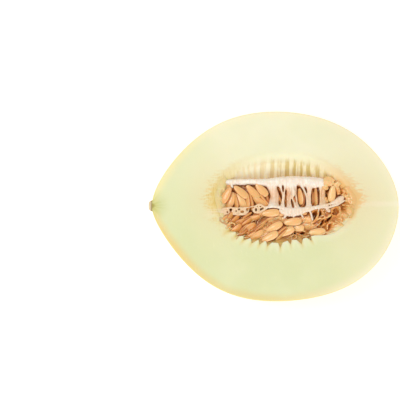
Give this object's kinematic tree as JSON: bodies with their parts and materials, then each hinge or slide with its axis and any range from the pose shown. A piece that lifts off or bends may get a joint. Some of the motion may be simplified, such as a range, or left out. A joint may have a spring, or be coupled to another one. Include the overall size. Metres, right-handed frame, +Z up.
{
  "type": "canary melon half",
  "caption": "Yellow-rind melon half cut lengthwise, lying on its rind, its open cavity filled with seeds, pulp and pale tissue.",
  "frame": {"origin": "on the resting surface, under the middle of the fruit's box", "axes": "+X from the stem end to the blossom end, +Z up out of the cut face, +Y across the cut towards the open side of the cavity"},
  "size_m": [0.1902, 0.1458, 0.0716],
  "materials": {
    "rind_and_flesh": "smooth waxy yellow rind, pale green moist flesh where cut",
    "seeds_and_pulp": "moist, tan seeds in soft orange pulp",
    "placenta": "moist, pale pink and white fibres"
  },
  "bodies": {
    "root": {"melon_half": "rind_and_flesh", "seeds_and_pulp": "seeds_and_pulp", "placenta": "placenta"}
  },
  "joints": []
}
